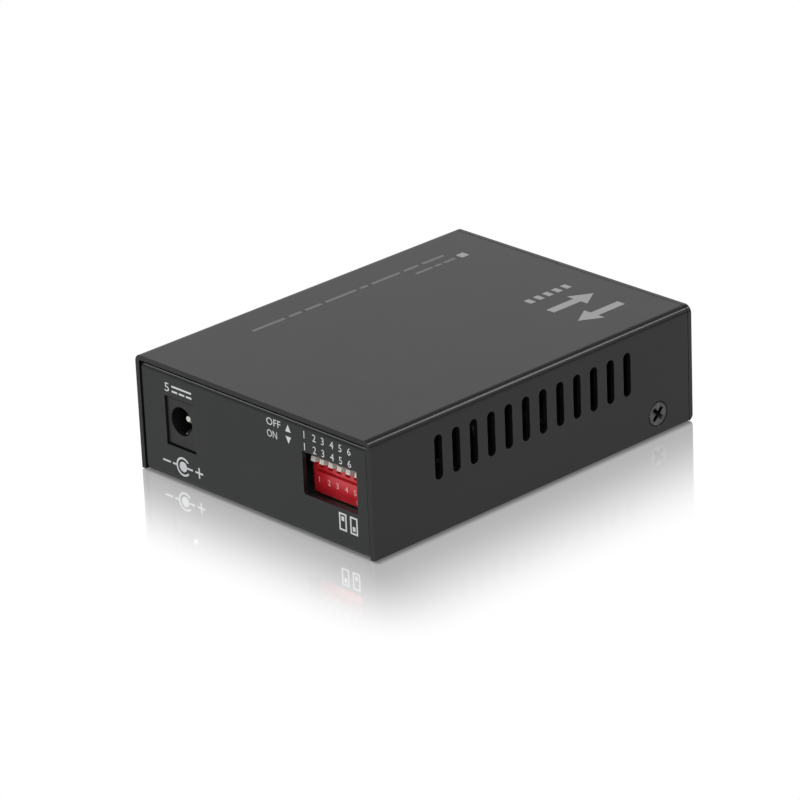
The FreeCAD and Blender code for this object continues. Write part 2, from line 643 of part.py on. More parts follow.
def inlet_housing_shape():
    """Moulded body: square collar, round-topped barrel, stepped feet and the plug's bore."""
    half = INLET_WIDTH / 2
    top = INLET_FOOT + INLET_HEIGHT
    collar = prism("XZ", rectangle(INLET_X - half, INLET_X + half, INLET_FOOT, top),
                   INLET_FACE, INLET_FACE + INLET_COLLAR)
    shoulder = INLET_AXIS_Z - 1.0
    barrel = fuse([
        block(INLET_X - half, INLET_X + half, INLET_FACE + 1, INLET_FACE + INLET_LENGTH,
              INLET_FOOT, shoulder),
        rod("XZ", INLET_X, INLET_AXIS_Z, half - INLET_BARREL_IN, INLET_FACE + 1,
            INLET_FACE + INLET_LENGTH)])
    feet = [block(INLET_X + s * (half - 1.2) - 0.6, INLET_X + s * (half - 1.2) + 0.6, y, y + 1.2,
                  BOARD_TOP, INLET_FOOT + 0.2)
            for s in (-1, 1) for y in (INLET_FACE + 1.6, INLET_FACE + INLET_LENGTH - 1.6)]
    body = fuse([collar, barrel] + feet)
    bore = rod("XZ", INLET_X, INLET_AXIS_Z, INLET_BORE_R, INLET_FACE - 1,
               INLET_FACE + INLET_BORE_DEPTH)
    low = INLET_AXIS_Z - INLET_BORE_R
    spring_slot = block(INLET_X - 1.35, INLET_X + 1.35, INLET_FACE + 1.3, INLET_FACE + 9.0,
                        BOARD_TOP, low + 0.9)
    pin_hole = rod("XZ", INLET_X, INLET_AXIS_Z, INLET_PIN_R + 0.05, INLET_FACE,
                   INLET_FACE + INLET_LENGTH + 1)
    back_well = block(INLET_X - 2.0, INLET_X + 2.0, INLET_FACE + INLET_LENGTH - 0.7,
                      INLET_FACE + INLET_LENGTH + 1, BOARD_TOP, INLET_AXIS_Z + 2.0)
    return cut(body, [bore, spring_slot, pin_hole, back_well])


def inlet_pin_shape():
    """Turned centre pin with a tapered tip."""
    tip = INLET_FACE + INLET_PIN_RECESS
    tail = INLET_FACE + INLET_LENGTH - tip + 0.1
    r = INLET_PIN_R
    return turned([(0, 0), (r * 0.6, 0), (r, 0.55), (r, tail), (0, tail)],
                  V(INLET_X, tip, INLET_AXIS_Z), V(0, 1, 0))


def inlet_contacts_shape():
    """Rear tail plate, bowed sleeve spring and side switch contact, each with its solder tail."""
    low = INLET_AXIS_Z - INLET_BORE_R
    deep = BOARD_LOW - TAIL
    rear = INLET_FACE + INLET_LENGTH + INLET_PLATE_GAP
    left, right = INLET_X - INLET_PLATE_HALF, INLET_X + INLET_PLATE_HALF
    under, over = INLET_AXIS_Z - INLET_PLATE_REACH, INLET_AXIS_Z + INLET_PLATE_REACH
    tail_left, tail_right = INLET_X - INLET_TERMINAL / 2, INLET_X + INLET_TERMINAL / 2
    plate = prism("XZ", [(left, under), (tail_left, BOARD_TOP), (tail_left, deep),
                         (tail_right, deep), (tail_right, BOARD_TOP), (right, under),
                         (right, over), (left, over)], rear, rear + INLET_PLATE_THICK)
    foot = INLET_FACE + INLET_SPRING_FOOT
    spring = strip([(INLET_FACE + INLET_SPRING_TIP, low - 0.2),
                    (INLET_FACE + INLET_SPRING_BOW, low + INLET_SPRING_RISE),
                    (foot, low - 0.7), (foot, deep)], -INLET_SPRING_SHEET, tail_left, tail_right)
    side = INLET_X + INLET_WIDTH / 2 + INLET_SWITCH_GAP
    start = INLET_FACE + INLET_SWITCH_START
    switch = block(side, side + INLET_SWITCH_SHEET, start, start + INLET_SWITCH_WIDTH, deep,
                   INLET_AXIS_Z - INLET_SWITCH_DOWN)
    return group([plate, spring, switch])


# ================================================================ piano DIP switch
def lever_x(k):
    """Middle of one lever."""
    return DIP_X + (k - (DIP_COUNT - 1) / 2) * DIP_PITCH


def dip_pins():
    """Board holes of the switch: two rows, one pin of each under each lever."""
    middle = (DIP_FACE_Y + DIP_BACK_Y) / 2
    return [(lever_x(k), middle + s * DIP_PIN_ROWS / 2) for k in range(DIP_COUNT) for s in (-1, 1)]


def dip_housing_shape():
    """Moulded housing: end cheeks, stepped face, a slot and a cell a lever, notched ribs."""
    low, top = DIP_FOOT, DIP_FOOT + DIP_HEIGHT
    body = block(DIP_X - DIP_HALF, DIP_X + DIP_HALF, DIP_FACE_Y, DIP_BACK_Y, low, top)
    step = low + DIP_STEP_Z
    inner = DIP_HALF - DIP_CHEEK - DIP_CHEEK_LIP
    step_back = DIP_FACE_Y + DIP_STEP_DEPTH
    tools = [
        block(DIP_X - inner, DIP_X + inner, DIP_FACE_Y - 1, step_back, step, top + 1),
        block(DIP_X - inner, DIP_X + inner, DIP_FACE_Y - 1, step_back + DIP_GROOVE,
              step - DIP_GROOVE, step + 0.01),
        block(DIP_X - DIP_HALF + DIP_WALL, DIP_X + DIP_HALF - DIP_WALL,
              DIP_FACE_Y + DIP_WALL, DIP_BACK_Y - DIP_WALL, low - 1, low + DIP_SKIRT)]
    half_slot = LEVER_WIDTH / 2 + LEVER_SLOT_GAP
    seat = half_slot + TRUNNION_LENGTH + TRUNNION_GAP
    half_notch = TRUNNION_R + TRUNNION_GAP
    for k in range(DIP_COUNT):
        x = lever_x(k)
        tools.append(block(x - half_slot, x + half_slot, DIP_FACE_Y - 1, PIVOT_Y,
                           low + DIP_SLOT_Z, top - DIP_ROOF))
        tools.append(block(x - half_slot, x + half_slot, DIP_FACE_Y + DIP_CELL_FRONT,
                           DIP_BACK_Y - DIP_WALL, low + DIP_SKIRT - 0.1, top - DIP_ROOF))
        tools.append(block(x - seat, x + seat, PIVOT_Y - half_notch, PIVOT_Y + half_notch,
                           low + DIP_SKIRT - 0.1, PIVOT_Z + half_notch))
    return cut(body, tools)


def dip_base_shape():
    """Moulded base: closes the housing, holds the terminals, its posts keep the trunnions up."""
    gap = 0.05
    low = DIP_FOOT
    base = block(DIP_X - DIP_HALF + DIP_WALL + gap, DIP_X + DIP_HALF - DIP_WALL - gap,
                 DIP_FACE_Y + DIP_WALL + gap, DIP_BACK_Y - DIP_WALL - gap, low + 0.1,
                 low + DIP_BASE_THICK)
    feet = [block(DIP_X + s * (DIP_HALF - 2.0) - 0.6, DIP_X + s * (DIP_HALF - 2.0) + 0.6,
                  (DIP_FACE_Y + DIP_BACK_Y) / 2 - 0.6, (DIP_FACE_Y + DIP_BACK_Y) / 2 + 0.6,
                  BOARD_TOP, low + 0.2) for s in (-1, 1)]
    wide = TRUNNION_R * 0.8
    post_top = PIVOT_Z - TRUNNION_R - TRUNNION_GAP
    posts = []
    for k in range(DIP_COUNT):
        for side in (-1, 1):
            near = lever_x(k) + side * (LEVER_WIDTH / 2 + LEVER_SLOT_GAP + TRUNNION_GAP)
            far = near + side * (TRUNNION_LENGTH - TRUNNION_GAP)
            posts.append(block(min(near, far), max(near, far), PIVOT_Y - wide, PIVOT_Y + wide,
                               low + 0.2, post_top))
    holes = [block(x - 0.35, x + 0.35, y - 0.15, y + 0.15, low - 1, low + 3) for x, y in dip_pins()]
    return cut(fuse([base] + feet + posts), holes)


def dip_contacts_shape():
    """Twelve stamped terminals: front ones carry a spring leaf, rear ones a fixed pad."""
    parts = []
    middle = (DIP_FACE_Y + DIP_BACK_Y) / 2
    deep = BOARD_LOW - TAIL
    pad = DIP_FOOT + DIP_BASE_THICK + 0.1
    for x, y in dip_pins():
        inward = 1 if y < middle else -1
        edge = y - 0.1 * inward
        line = [(edge, deep), (edge, pad + 0.2), (edge + 1.0 * inward, pad + 0.2),
                (edge + 2.7 * inward, pad + (1.6 if inward > 0 else 0.2))]
        if inward < 0:
            line.pop()
        parts.append(strip(line, -0.2 * inward, x - 0.3, x + 0.3))
    return group(parts)


def dip_lever_shape(k):
    """White lever, up: square tip, tapered arm, hub with two octagonal trunnions, cam nose."""
    x = lever_x(k)
    half = LEVER_WIDTH / 2
    tip = LEVER_PIVOT_IN + LEVER_REACH
    thick = LEVER_THICK / 2
    hub = LEVER_HUB
    arm = prism("YZ", [(-tip, -thick), (-hub, -thick * 1.2), (-0.75, -hub), (-0.35, -LEVER_NOSE),
                       (0.35, -LEVER_NOSE), (0.75, -hub), (hub, -0.4), (hub, 0.4), (0.4, hub),
                       (-0.4, hub), (-hub, thick * 1.2), (-tip, thick)], x - half, x + half)
    pin = half + LEVER_SLOT_GAP + TRUNNION_LENGTH
    lever = fuse([arm, bar("YZ", 0, 0, TRUNNION_FLATS, 8, x - pin, x + pin)])
    lever.rotate(V(0, 0, 0), V(1, 0, 0), -LEVER_UP)
    lever.translate(V(0, PIVOT_Y, PIVOT_Z))
    return lever


# ================================================================ SFP cage
def cage_shape():
    """Stamped cage: four walls and back, latch window, side tabs, open floor at the rear."""
    x0, x1 = CAGE_X - CAGE_WIDTH / 2, CAGE_X + CAGE_WIDTH / 2
    z0, z1 = BOARD_TOP, BOARD_TOP + CAGE_HEIGHT
    outer = block(x0, x1, CAGE_REAR, PORT_FACE, z0, z1)
    t = CAGE_SHEET
    inner = block(x0 + t, x1 - t, CAGE_REAR + t, PORT_FACE + 1, z0 + t, z1 - t)
    floor_open = block(x0 + t, x1 - t, CAGE_REAR - 1, PORT_FACE - CAGE_FLOOR_STOP,
                       z0 - 1, z0 + CAGE_FLOOR_RISE)
    base = PORT_FACE - LATCH_WINDOW_BASE
    latch = prism("XY", [(CAGE_X, PORT_FACE - LATCH_WINDOW_TIP),
                         (CAGE_X + LATCH_WINDOW_HALF, base),
                         (CAGE_X - LATCH_WINDOW_HALF, base)], z0 - 1, z0 + 1)
    tab = PORT_FACE - CAGE_TAB_START
    slit = z0 + CAGE_TAB_LIFT
    tabs = [block(x - 1, x + 1, tab - CAGE_TAB_LENGTH, tab, slit, slit + CAGE_TAB_SLIT)
            for x in (x0, x1)]
    return cut(outer, [inner, floor_open, latch] + tabs)


def emi_spring_shape():
    """Thin spring collar round the cage mouth: a band with bowed fingers on top and sides."""
    x0, x1 = CAGE_X - CAGE_WIDTH / 2, CAGE_X + CAGE_WIDTH / 2
    z0, z1 = BOARD_TOP, BOARD_TOP + CAGE_HEIGHT
    rear = PORT_FACE - EMI_DEPTH
    band_end = rear + EMI_BAND
    base = EMI_GAP + EMI_SHEET
    band = strip([(x0 - base, z0 + EMI_SKIRT), (x0 - base, z1 + base), (x1 + base, z1 + base),
                  (x1 + base, z0 + EMI_SKIRT)], -EMI_SHEET, rear, band_end, "XZ")
    bow = [(band_end - 0.3, 0), (band_end + 1.6, EMI_BOW), (PORT_FACE - 0.3, 0.05)]
    fingers = []
    half = EMI_FINGER / 2
    for k in range(EMI_TOP_FINGERS):
        x = CAGE_X + (k - (EMI_TOP_FINGERS - 1) / 2) * EMI_TOP_PITCH
        line = [(y, z1 + base + up) for y, up in bow]
        fingers.append(strip(line, -EMI_SHEET, x - half, x + half))
    for side in (-1, 1):
        for k in range(EMI_SIDE_FINGERS):
            z = (z0 + z1) / 2 + (k - (EMI_SIDE_FINGERS - 1) / 2) * EMI_SIDE_PITCH
            face = (x1 + base) if side > 0 else (x0 - base)
            line = [(face + side * up, y) for y, up in bow]
            fingers.append(strip(line, side * EMI_SHEET, z - half, z + half, "XY"))
    return fuse([band] + fingers)


def edge_connector_shape():
    """Moulded card-edge connector inside the cage, with its slot and rear window."""
    front = PORT_FACE - EDGE_BACK
    rear = front - EDGE_DEPTH
    half = EDGE_WIDTH / 2
    body = prism("YZ", [(rear, BOARD_TOP + 0.1), (front, BOARD_TOP + 0.1),
                        (front, BOARD_TOP + EDGE_HEIGHT),
                        (rear + EDGE_CORNER, BOARD_TOP + EDGE_HEIGHT),
                        (rear, BOARD_TOP + EDGE_HEIGHT - EDGE_CORNER)],
                 CAGE_X - half, CAGE_X + half)
    slot_z = BOARD_TOP + EDGE_SLOT_Z
    slot = block(CAGE_X - EDGE_SLOT_WIDTH / 2, CAGE_X + EDGE_SLOT_WIDTH / 2,
                 front - EDGE_SLOT_DEPTH, front + 1,
                 slot_z - EDGE_SLOT_HEIGHT / 2, slot_z + EDGE_SLOT_HEIGHT / 2)
    row = EDGE_ROW * EDGE_PITCH / 2 + 0.2
    window = block(CAGE_X - row, CAGE_X + row, rear - 1, front - EDGE_SLOT_DEPTH + 0.5,
                   slot_z - EDGE_SLOT_HEIGHT / 2, slot_z + EDGE_SLOT_HEIGHT / 2)
    low_well = block(CAGE_X - row, CAGE_X + row, rear - 1, rear + 1.6, BOARD_TOP - 1,
                     slot_z)
    return cut(body, [slot, window, low_well])


def edge_contacts_shape():
    """Twenty stamped contacts in two staggered rows, from the slot to the board."""
    front = PORT_FACE - EDGE_BACK
    rear = front - EDGE_DEPTH
    slot_z = BOARD_TOP + EDGE_SLOT_Z
    half = EDGE_SLOT_HEIGHT / 2 - 0.02
    parts = []
    for k in range(EDGE_ROW):
        x = CAGE_X + (k - (EDGE_ROW - 1) / 2) * EDGE_PITCH
        upper = [(front - 0.5, slot_z + half), (rear - 0.3, slot_z + half),
                 (rear - 0.3, BOARD_TOP)]
        lower = [(front - 0.5, slot_z - half + EDGE_CONTACT),
                 (rear + 0.9, slot_z - half + EDGE_CONTACT), (rear + 0.9, BOARD_TOP)]
        for row, middle in ((upper, x + EDGE_STAGGER), (lower, x - EDGE_STAGGER)):
            parts.append(strip(row, EDGE_CONTACT, middle - EDGE_CONTACT_WIDTH / 2,
                               middle + EDGE_CONTACT_WIDTH / 2))
    return group(parts)


# ================================================================ RJ45 jack
def jack_pins():
    """Board holes of the jack: two staggered rows of four."""
    return [(JACK_X + (k - (JACK_CONTACTS - 1) / 2) * JACK_PITCH,
             JACK_REAR + JACK_ROW_BACK + JACK_ROWS * (k % 2)) for k in range(JACK_CONTACTS)]


def jack_insert_shape():
    """Moulded insert: plug space, latch notch, key slot and the wells of the contact wires."""
    edge = JACK_SHEET + JACK_FIT
    x0, x1 = JACK_X - JACK_WIDTH / 2 + edge, JACK_X + JACK_WIDTH / 2 - edge
    front = PORT_FACE - JACK_FRONT_IN
    top = BOARD_TOP + JACK_HEIGHT - edge
    body = block(x0, x1, JACK_REAR + edge, front, BOARD_TOP, top)
    low = BOARD_TOP + PLUG_LOW
    back = front - PLUG_DEPTH
    half_row = JACK_CONTACTS * JACK_PITCH / 2 + JACK_WELL_SIDE
    roof = top - JACK_ROOF
    tools = [
        block(JACK_X - PLUG_WIDTH / 2, JACK_X + PLUG_WIDTH / 2, back, front + 1,
              low, low + PLUG_HEIGHT),
        block(JACK_X - LATCH_WIDTH / 2, JACK_X + LATCH_WIDTH / 2, back + 2, front + 1,
              low - LATCH_DEEP, low + 1),
        block(JACK_X - KEY_WIDTH / 2, JACK_X + KEY_WIDTH / 2, back + 2, front + 1,
              low - LATCH_DEEP - KEY_DEEP, low + 1),
        block(JACK_X - half_row, JACK_X + half_row, back, front - 1.6,
              low, roof),
        block(JACK_X - half_row, JACK_X + half_row, JACK_REAR, back + 1, roof - 0.8, roof),
        block(JACK_X - half_row, JACK_X + half_row, JACK_REAR, JACK_REAR + 4.9,
              BOARD_TOP - 1, roof)]
    return cut(body, tools)


def jack_contacts_shape():
    """Eight spring wires: up from the board, forward under the roof, then back down."""
    top = BOARD_TOP + JACK_HEIGHT - JACK_SHEET - JACK_FIT - 1.0
    front = PORT_FACE - 2.4
    free = BOARD_TOP + PLUG_LOW + 4.6
    parts = []
    for x, y in jack_pins():
        line = [(y - WIRE / 2, BOARD_LOW - TAIL), (y - WIRE / 2, top), (front - 0.5, top),
                (front, top - 0.5), (front - 0.5, top - 1.1), (front - 7.0, free)]
        parts.append(strip(line, -WIRE, x - WIRE / 2, x + WIRE / 2))
    return group(parts)


def jack_shield_shape():
    """Folded shield: roof, sides, back and a rim round the front, with two grounding springs."""
    x0, x1 = JACK_X - JACK_WIDTH / 2, JACK_X + JACK_WIDTH / 2
    z0, z1 = BOARD_TOP + 0.02, BOARD_TOP + JACK_HEIGHT
    t = JACK_SHEET
    shell = block(x0, x1, JACK_REAR, PORT_FACE, z0, z1)
    hollow = block(x0 + t, x1 - t, JACK_REAR + t, PORT_FACE - t, z0 - 1, z1 - t)
    half = PLUG_WIDTH / 2 + MOUTH_CLEAR
    mouth = block(JACK_X - half, JACK_X + half, PORT_FACE - 1, PORT_FACE + 1,
                  BOARD_TOP + MOUTH_LOW, BOARD_TOP + PLUG_LOW + PLUG_HEIGHT + MOUTH_CLEAR)
    spring = PORT_FACE - GROUND_FRONT
    slits = [block(x0 - 1, x1 + 1, spring - GROUND_LENGTH, spring, z0 + up,
                   z0 + up + GROUND_SLIT) for up in GROUND_SLITS]
    shell = cut(shell, [hollow, mouth] + slits)
    post = PORT_FACE - SHIELD_POST_START
    deep = BOARD_TOP - SHIELD_POST_DEEP
    posts = [block(x, x + t, post - SHIELD_POST_WIDTH, post, deep, z0 + 1)
             for x in (x0, x1 - t)]
    notch = [block(x, x + t, post - SHIELD_POST_WIDTH, post, deep, BOARD_TOP)
             for x in (x0, x1 - t)]
    return fuse([shell] + posts).cut(group(notch))


# ================================================================ status lamps
def lamp_places():
    """Middle of each status lamp on the port panel."""
    return [(LAMP_X + (c - (LAMP_COLUMNS - 1) / 2) * LAMP_PITCH_X,
             BOARD_TOP + LAMP_FIRST_Z + r * LAMP_PITCH_Z)
            for c in range(LAMP_COLUMNS) for r in range(LAMP_ROWS)]


def lamp_block_shape():
    """Moulded holder that carries the light guides behind the panel."""
    front = PORT_IN_Y - LAMP_BLOCK_GAP
    top = BOARD_TOP + LAMP_FIRST_Z + (LAMP_ROWS - 1) * LAMP_PITCH_Z + LAMP_WIDTH / 2 + LAMP_BLOCK_WALL
    body = block(LAMP_X - LAMP_HALF, LAMP_X + LAMP_HALF, front - LAMP_BLOCK_DEPTH, front,
                 BOARD_TOP, top)
    hole = LAMP_WIDTH / 2 + LAMP_FIT
    holes = [prism("XZ", rectangle(x - hole, x + hole, z - hole, z + hole),
                   PORT_FACE - LAMP_LENGTH - LAMP_FIT, PORT_FACE) for x, z in lamp_places()]
    return cut(body, holes)


def lamps_shape():
    """Square light guides with a small chamfer round the lit face."""
    half = LAMP_WIDTH / 2
    lamps = []
    for x, z in lamp_places():
        guide = prism("XZ", rectangle(x - half, x + half, z - half, z + half),
                      PORT_FACE - LAMP_LENGTH, PORT_FACE)
        rim = [edge for edge in guide.Edges if edge.BoundBox.YMin > PORT_FACE - 0.01]
        lamps.append(guide.makeChamfer(0.3, rim))
    return group(lamps)


# ================================================================ parts on the board
def package(place, size, height, leads, pitch):
    """Moulded package at a board place, with a row of plain leads along its two long sides."""
    x, y = place
    half_x, half_y = size[0] / 2, size[1] / 2
    base = BOARD_TOP
    parts = [block(x - half_x, x + half_x, y - half_y, y + half_y, base + PACKAGE_STAND,
                   base + height)]
    half_lead, half_depth = LEAD_WIDTH / 2, LEAD_DEPTH / 2
    for side in (-1, 1):
        for k in range(leads):
            u = x + (k - (leads - 1) / 2) * pitch
            v = y + side * (half_y + half_depth)
            parts.append(block(u - half_lead, u + half_lead, v - half_depth, v + half_depth, base,
                               base + height * 0.5))
    return fuse(parts)


def can_capacitors_shape():
    """Two aluminium can filter capacitors."""
    return group([rod("XY", x, y, CAN_R, BOARD_TOP, BOARD_TOP + CAN_HEIGHT)
                  for x, y in CAN_PLACES])


def inductor_shape():
    """Shielded power inductor: square ferrite block with cut corners."""
    x, y = INDUCTOR_PLACE
    half, corner = INDUCTOR_SIZE / 2, INDUCTOR_CORNER
    points = [(x - half + corner, y - half), (x + half - corner, y - half),
              (x + half, y - half + corner), (x + half, y + half - corner),
              (x + half - corner, y + half), (x - half + corner, y + half),
              (x - half, y + half - corner), (x - half, y - half + corner)]
    return prism("XY", points, BOARD_TOP, BOARD_TOP + INDUCTOR_HEIGHT)


def crystal_shape():
    """Low metal-lid crystal on its ceramic foot."""
    x, y = CRYSTAL_PLACE
    return fuse([block(x - wide / 2, x + wide / 2, y - deep / 2, y + deep / 2, BOARD_TOP,
                       BOARD_TOP + tall) for wide, deep, tall in (CRYSTAL_FOOT, CRYSTAL_LID)])


def regulator_shape():
    """Voltage regulator in a small power package with its cooling tab."""
    x, y = REGULATOR_PLACE
    half_x, half_y = REGULATOR_SIZE[0] / 2, REGULATOR_SIZE[1] / 2
    body = block(x - half_x, x + half_x, y - half_y, y + half_y, BOARD_TOP + REGULATOR_STAND,
                 BOARD_TOP + REGULATOR_TOP)
    sheet = BOARD_TOP + REGULATOR_SHEET
    tab = block(x - REGULATOR_TAB / 2, x + REGULATOR_TAB / 2, y + REGULATOR_ROOT,
                y + REGULATOR_REACH, BOARD_TOP, sheet)
    pins = [block(x + s * REGULATOR_PITCH - REGULATOR_PIN / 2,
                  x + s * REGULATOR_PITCH + REGULATOR_PIN / 2, y - REGULATOR_REACH,
                  y - REGULATOR_ROOT, BOARD_TOP, sheet) for s in (-1, 0, 1)]
    return fuse([body, tab] + pins)


def chip_shape():
    """Flat lead-free package of the converter chip, its first corner cut."""
    x, y = CHIP_PLACE
    half = CHIP_SIZE / 2
    points = [(x - half + CHIP_CORNER, y - half), (x + half, y - half), (x + half, y + half),
              (x - half, y + half), (x - half, y - half + CHIP_CORNER)]
    return prism("XY", points, BOARD_TOP, BOARD_TOP + CHIP_HEIGHT)


def passives_shape():
    """Rows of small chip resistors and capacitors."""
    parts = []
    for (x, y), count in zip(PASSIVE_ROWS, PASSIVE_COUNTS):
        for k in range(count):
            left = x + k * PASSIVE_PITCH
            parts.append(block(left, left + PASSIVE_WIDTH, y, y + PASSIVE_DEPTH,
                               BOARD_TOP, BOARD_TOP + PASSIVE_HEIGHT))
    return group(parts)


# ================================================================ nodes
NODES = {
    "top_cover": cover_shape,
    "base_tray": tray_shape,
    "cover_screws": cover_screws_shape,
    "circuit_board": board_shape,
    "board_standoffs": standoffs_shape,
    "board_screws": board_screws_shape,
    "dc_inlet_housing": inlet_housing_shape,
    "dc_inlet_pin": inlet_pin_shape,
    "dc_inlet_contacts": inlet_contacts_shape,
    "dip_housing": dip_housing_shape,
    "dip_base": dip_base_shape,
    "dip_contacts": dip_contacts_shape,
    "sfp_cage": cage_shape,
    "sfp_emi_spring": emi_spring_shape,
    "sfp_edge_connector": edge_connector_shape,
    "sfp_edge_contacts": edge_contacts_shape,
    "rj45_insert": jack_insert_shape,
    "rj45_contacts": jack_contacts_shape,
    "rj45_shield": jack_shield_shape,
    "lamp_holder": lamp_block_shape,
    "status_lamps": lamps_shape,
    "converter_chip": chip_shape,
    "magnetics_module": lambda: package(MAGNETICS_PLACE, MAGNETICS_SIZE, MAGNETICS_HEIGHT,
                                        MAGNETICS_LEAD_COUNT, MAGNETICS_PITCH),
    "memory_chip": lambda: package(MEMORY_PLACE, MEMORY_SIZE, MEMORY_HEIGHT, MEMORY_LEAD_COUNT,
                                   MEMORY_PITCH),
    "crystal": crystal_shape,
    "voltage_regulator": regulator_shape,
    "power_inductor": inductor_shape,
    "can_capacitors": can_capacitors_shape,
    "board_passives": passives_shape,
}
for index in range(DIP_COUNT):
    NODES["dip_lever_%d" % (index + 1)] = lambda k=index: dip_lever_shape(k)


def main():
    """Build every node and write it as a STEP file of its own."""
    os.makedirs("parts", exist_ok=True)
    for name, build in NODES.items():
        build().exportStep("parts/%s.step" % name)


main()
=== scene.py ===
import math

import bmesh
import bpy
from mathutils import Matrix, Vector


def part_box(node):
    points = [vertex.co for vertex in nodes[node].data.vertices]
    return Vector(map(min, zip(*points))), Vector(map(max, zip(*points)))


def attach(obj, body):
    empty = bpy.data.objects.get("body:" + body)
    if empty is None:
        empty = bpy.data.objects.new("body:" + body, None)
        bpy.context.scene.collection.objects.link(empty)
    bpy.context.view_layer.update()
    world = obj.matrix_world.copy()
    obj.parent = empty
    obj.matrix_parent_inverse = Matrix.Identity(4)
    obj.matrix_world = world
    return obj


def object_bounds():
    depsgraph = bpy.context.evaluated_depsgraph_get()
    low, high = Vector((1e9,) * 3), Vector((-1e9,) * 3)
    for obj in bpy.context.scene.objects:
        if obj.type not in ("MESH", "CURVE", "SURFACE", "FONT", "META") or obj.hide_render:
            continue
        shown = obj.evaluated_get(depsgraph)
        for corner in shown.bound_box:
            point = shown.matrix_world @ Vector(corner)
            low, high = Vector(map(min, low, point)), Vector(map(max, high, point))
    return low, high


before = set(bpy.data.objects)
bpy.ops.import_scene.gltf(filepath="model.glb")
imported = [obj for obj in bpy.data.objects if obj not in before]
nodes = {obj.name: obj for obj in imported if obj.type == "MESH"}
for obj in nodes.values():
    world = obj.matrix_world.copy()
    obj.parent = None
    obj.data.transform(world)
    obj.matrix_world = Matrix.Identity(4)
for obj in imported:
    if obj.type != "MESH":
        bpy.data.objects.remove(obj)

MM = 0.001

# ---------------------------------------------------------------- places read from the frame
case_low, case_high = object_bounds()
POWER_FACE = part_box("base_tray")[0].y
LID_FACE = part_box("top_cover")[1].z
SWITCH_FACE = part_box("dip_housing")[0].y
INLET_LOW, INLET_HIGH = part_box("dc_inlet_housing")
LEVERS = sorted(name for name in nodes if name.startswith("dip_lever_"))

# ---------------------------------------------------------------- shading
SHARP_ANGLE = 32         # faces that meet at more, in degrees, keep a sharp edge
BEVEL_SAMPLES = 6

# ---------------------------------------------------------------- print, in millimetres
INK = 0.012              # ink height
ROUND_STEPS = 40         # straight runs in a disc or an arc
PANEL_LINE = 0.42        # stroke of the panel's symbols
FRAME_LINE = 0.4         # stroke of the lever pictograms

# ---------------------------------------------------------------- floor, in millimetres
FLOOR_HALF = 3000.0
FLOOR_DROP = 0.02        # floor below the case
FOOT_INSET = 0.9         # the fade starts this far inside the panels, under their bend
FADE = (0.58, 35.0)      # share of gloss near the case, and how far out it ends
FOOT_SHADOW_FADE = (0.28, 2.0)  # what is added to it at the foot: a painted contact shadow, where the floor's glow gives way to the dark mirror image of the case
FADE_STRETCH = (1, 1.25, 1)

# ---------------------------------------------------------------- studio, in metres
DIM = 0.25               # brightness of the low parts
BRIGHT = 1.08            # brightness under the ceiling
CEILING = 0.5            # brightness of the ceiling
LEFT_BACK = (-0.729, 0.685, 0)
LIGHT_DISTANCE = 1.2

# ---------------------------------------------------------------- camera
CAMERA_TURN = (46.772, 23.318, -2.439)   # azimuth from the power panel, elevation, roll
CAMERA_PLACE = (-3.586, -2.812, 949.93)  # right, up and back of the case's middle, millimetres
CAMERA_SENSOR = 36.0
CAMERA_LENS = 203.445


# ================================================================ node materials
class Wiring:
    """A node tree with short ways to add nodes and links."""

    def __init__(self, tree):
        self.tree = tree

    def node(self, kind, **values):
        """New node; each value goes to the input of that name, or else to the setting."""
        made = self.tree.nodes.new(kind)
        for name, value in values.items():
            if name in made.inputs:
                made.inputs[name].default_value = value
            else:
                setattr(made, name, value)
        return made

    def link(self, output, target):
        self.tree.links.new(output, target)

    def feed(self, value, socket):
        """Links an output to the socket, or sets the socket to a plain value."""
        if isinstance(value, bpy.types.NodeSocket):
            self.link(value, socket)
        else:
            socket.default_value = value

    def math(self, operation, *values):
        made = self.node("ShaderNodeMath", operation=operation)
        for value, socket in zip(values, made.inputs):
            self.feed(value, socket)
        return made.outputs[0]

    def vector(self, operation, *values):
        made = self.node("ShaderNodeVectorMath", operation=operation)
        for value, socket in zip(values, made.inputs):
            self.feed(value, socket)
        return made.outputs["Value" if operation == "DOT_PRODUCT" else "Vector"]

    def spread(self, value, low, high, first=0.3, last=0.7, kind="LINEAR"):
        """Value mapped from first..last to low..high."""
        ranged = self.node("ShaderNodeMapRange", interpolation_type=kind)
        for index, number in zip(range(1, 5), (first, last, low, high)):
            ranged.inputs[index].default_value = number
        self.link(value, ranged.inputs[0])
        return ranged.outputs[0]

    def eased(self, value, low, high, first, last):
        """The same with soft ends."""
        return self.spread(value, low, high, first, last, "SMOOTHSTEP")


